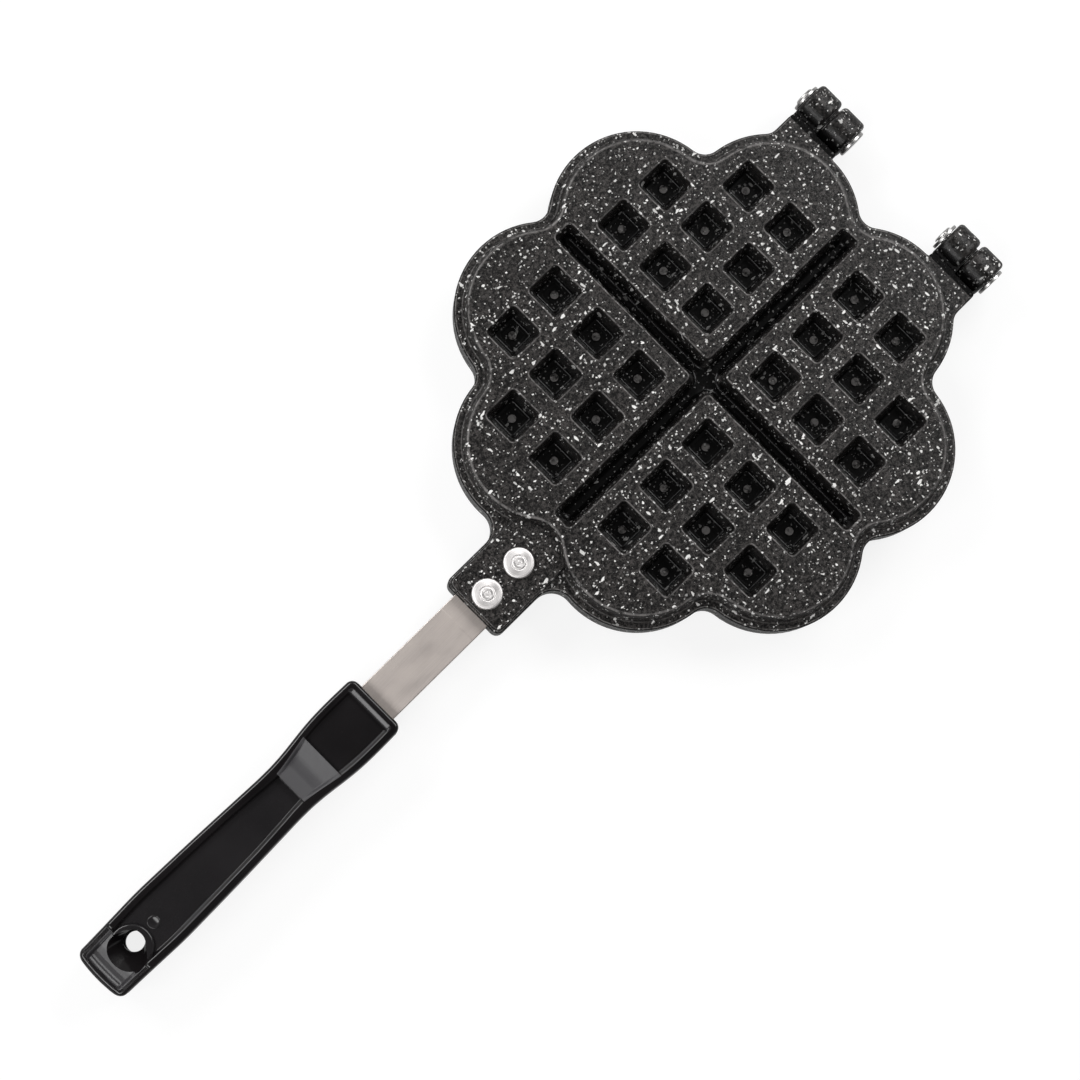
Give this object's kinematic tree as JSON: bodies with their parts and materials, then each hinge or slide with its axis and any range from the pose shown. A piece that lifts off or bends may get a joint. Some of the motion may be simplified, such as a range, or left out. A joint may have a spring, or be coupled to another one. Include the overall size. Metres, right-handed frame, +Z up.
{
  "type": "stovetop waffle iron",
  "caption": "Hinged cast waffle iron for the hob: two lobed plates with heart hollows and pegs, riveted steel strips and a split bakelite handle with a hanging hole.",
  "frame": {"origin": "centre of the closed iron's bounding box, on the surface that the lower plate rests on", "axes": "+X along the iron from the handle to the hinges, +Y across it to the left of the hinges' side, +Z up through both plates"},
  "size_m": [0.4748, 0.21, 0.028],
  "materials": {
    "granite_coating": "cast aluminium under a dark speckled non-stick coating, satin",
    "strip_steel": "warm grey strip steel, finely brushed along its length",
    "rivet_steel": "bright rivet steel with turned heads",
    "pin_steel": "bright pin steel",
    "bakelite": "glossy black bakelite"
  },
  "bodies": {
    "lower_half": {"bottom_plate": "granite_coating", "bottom_handle_strip": "strip_steel", "bottom_handle_grip": "bakelite", "bottom_strip_rivet_1": "rivet_steel", "bottom_strip_rivet_2": "rivet_steel", "left_hinge_pin": "pin_steel", "left_hinge_washer": "pin_steel", "right_hinge_pin": "pin_steel", "right_hinge_washer": "pin_steel"},
    "upper_half": {"top_plate": "granite_coating", "top_handle_strip": "strip_steel", "top_handle_grip": "bakelite", "top_strip_rivet_1": "rivet_steel", "top_strip_rivet_2": "rivet_steel"}
  },
  "joints": [
    {"name": "plate_hinge", "type": "hinge", "parent": "lower_half", "child": "upper_half", "pos_m": [0.22811, 0, 0.014], "axis": [0, 1, 0], "range_deg": [0, 180]}
  ]
}
